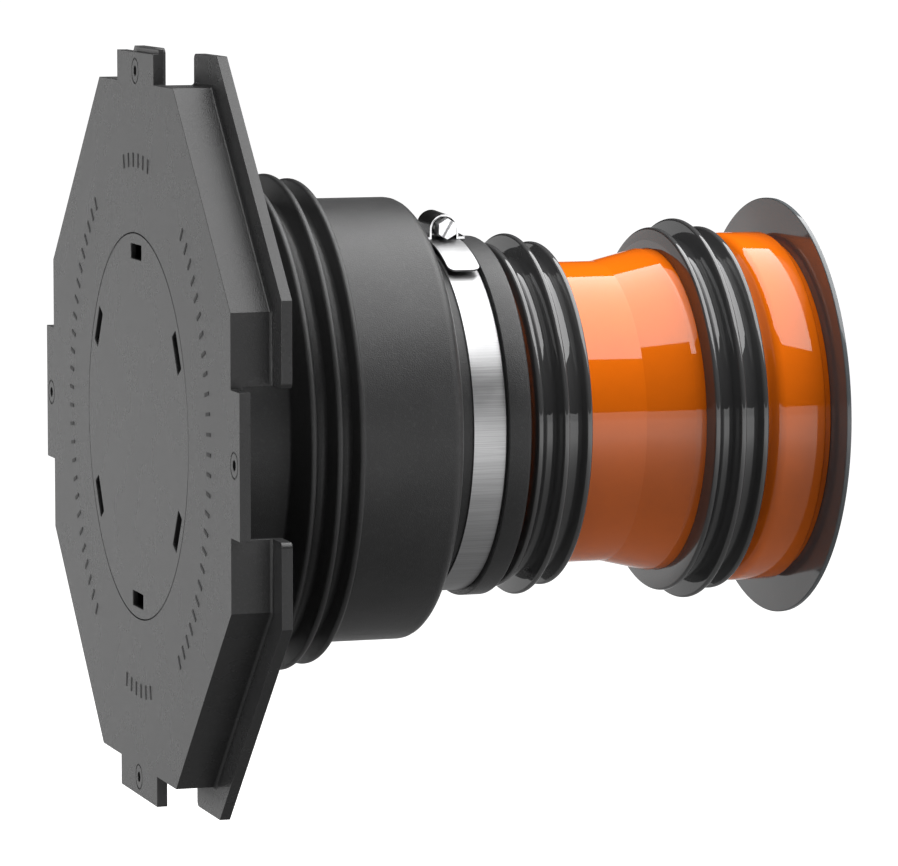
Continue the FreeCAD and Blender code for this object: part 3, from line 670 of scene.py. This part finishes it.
softbox = bpy.data.lights.new("softbox", "AREA")
softbox.shape = "RECTANGLE"
softbox.size, softbox.size_y = studio["softboxLength"] * mm, studio["softboxWidth"] * mm
softbox.energy = studio["softboxPower"]
lamp = bpy.data.objects.new("softbox", softbox)
tilt = Matrix.Rotation(math.radians(studio["softboxLean"]), 4, "Y")
hung = Matrix.Translation(Vector((studio["softboxSlide"], studio["softboxShift"],
                                  studio["softboxAway"])) * mm)
lamp.matrix_world = Matrix.Translation(Vector((studio["softboxMiddle"], 0.0, 0.0)) * mm) @ tilt @ hung
scene.collection.objects.link(lamp)

# A second, square lamp far in front of the plate lights what faces it.
fill = bpy.data.lights.new("fill", "AREA")
fill.size, fill.energy = studio["fillSize"] * mm, studio["fillPower"]
fillLamp = bpy.data.objects.new("fill", fill)
fillLamp.matrix_world = (Matrix.Translation(Vector((-studio["fillAway"], 0.0, studio["fillRise"])) * mm)
                         @ Matrix.Rotation(math.radians(-90), 4, "Y"))
scene.collection.objects.link(fillLamp)

# Mirror-like surfaces see a bright wall that ends a few degrees over the floor, matte ones get a plain,
# low light from all round, and the camera sees white.
world = bpy.data.worlds.new("studio")
scene.world = world
world.use_nodes = True
sky = world.node_tree
sky.nodes.clear()
direction = addNode(sky, "ShaderNodeTexCoord").outputs["Generated"]
parts = addNode(sky, "ShaderNodeSeparateXYZ")
link(sky, direction, parts.inputs[0])
topLow, topHigh = (math.sin(math.radians(angle)) for angle in studio["wallTop"])
wall = ramp(sky, parts.outputs["Z"], topLow, topHigh, *studio["wallGlow"])
facing = ramp(sky, parts.outputs["Y"], *studio["wallFacing"], True)
paths = addNode(sky, "ShaderNodeLightPath")
mirrored = mathNode(sky, "MAXIMUM", paths.outputs["Is Glossy Ray"], paths.outputs["Is Transmission Ray"])
direct = paths.outputs["Is Camera Ray"]
plain = mathNode(sky, "SUBTRACT", mathNode(sky, "SUBTRACT", 1.0, mirrored), direct, True)
ambient = mathNode(sky, "ADD", mathNode(sky, "MULTIPLY", plain, studio["shade"]), direct)
wallGlow = mathNode(sky, "MULTIPLY", mirrored, mathNode(sky, "MULTIPLY", wall, facing))
ambient = mathNode(sky, "ADD", ambient, wallGlow)
background = addNode(sky, "ShaderNodeBackground")
link(sky, ambient, background.inputs["Strength"])
worldOutput = addNode(sky, "ShaderNodeOutputWorld")
link(sky, background.outputs[0], worldOutput.inputs["Surface"])

shot = {"azimuth": -18.224, "elevation": 6.319, "roll": 0.044, "distance": 1891.86,
        "target": (117.13, 0.0, -6.335), "lens": 208.55, "sensor": 36.0}
azimuth, elevation = math.radians(shot["azimuth"]), math.radians(shot["elevation"])
back = Vector((math.sin(azimuth) * math.cos(elevation), -math.cos(azimuth) * math.cos(elevation),
               math.sin(elevation)))
cameraData = bpy.data.cameras.new("camera")
cameraData.lens, cameraData.sensor_width = shot["lens"], shot["sensor"]
cameraData.clip_start, cameraData.clip_end = 0.05, 200.0
camera = bpy.data.objects.new("camera", cameraData)
scene.collection.objects.link(camera)
aim = (-back).to_track_quat("-Z", "Y").to_matrix() @ Matrix.Rotation(math.radians(shot["roll"]), 3, "Z")
stand = Matrix.Translation(Vector(shot["target"]) * mm + back * shot["distance"] * mm)
camera.matrix_world = stand @ aim.to_4x4()
scene.camera = camera
scene.view_settings.view_transform = "Standard"
print("studio and camera set")
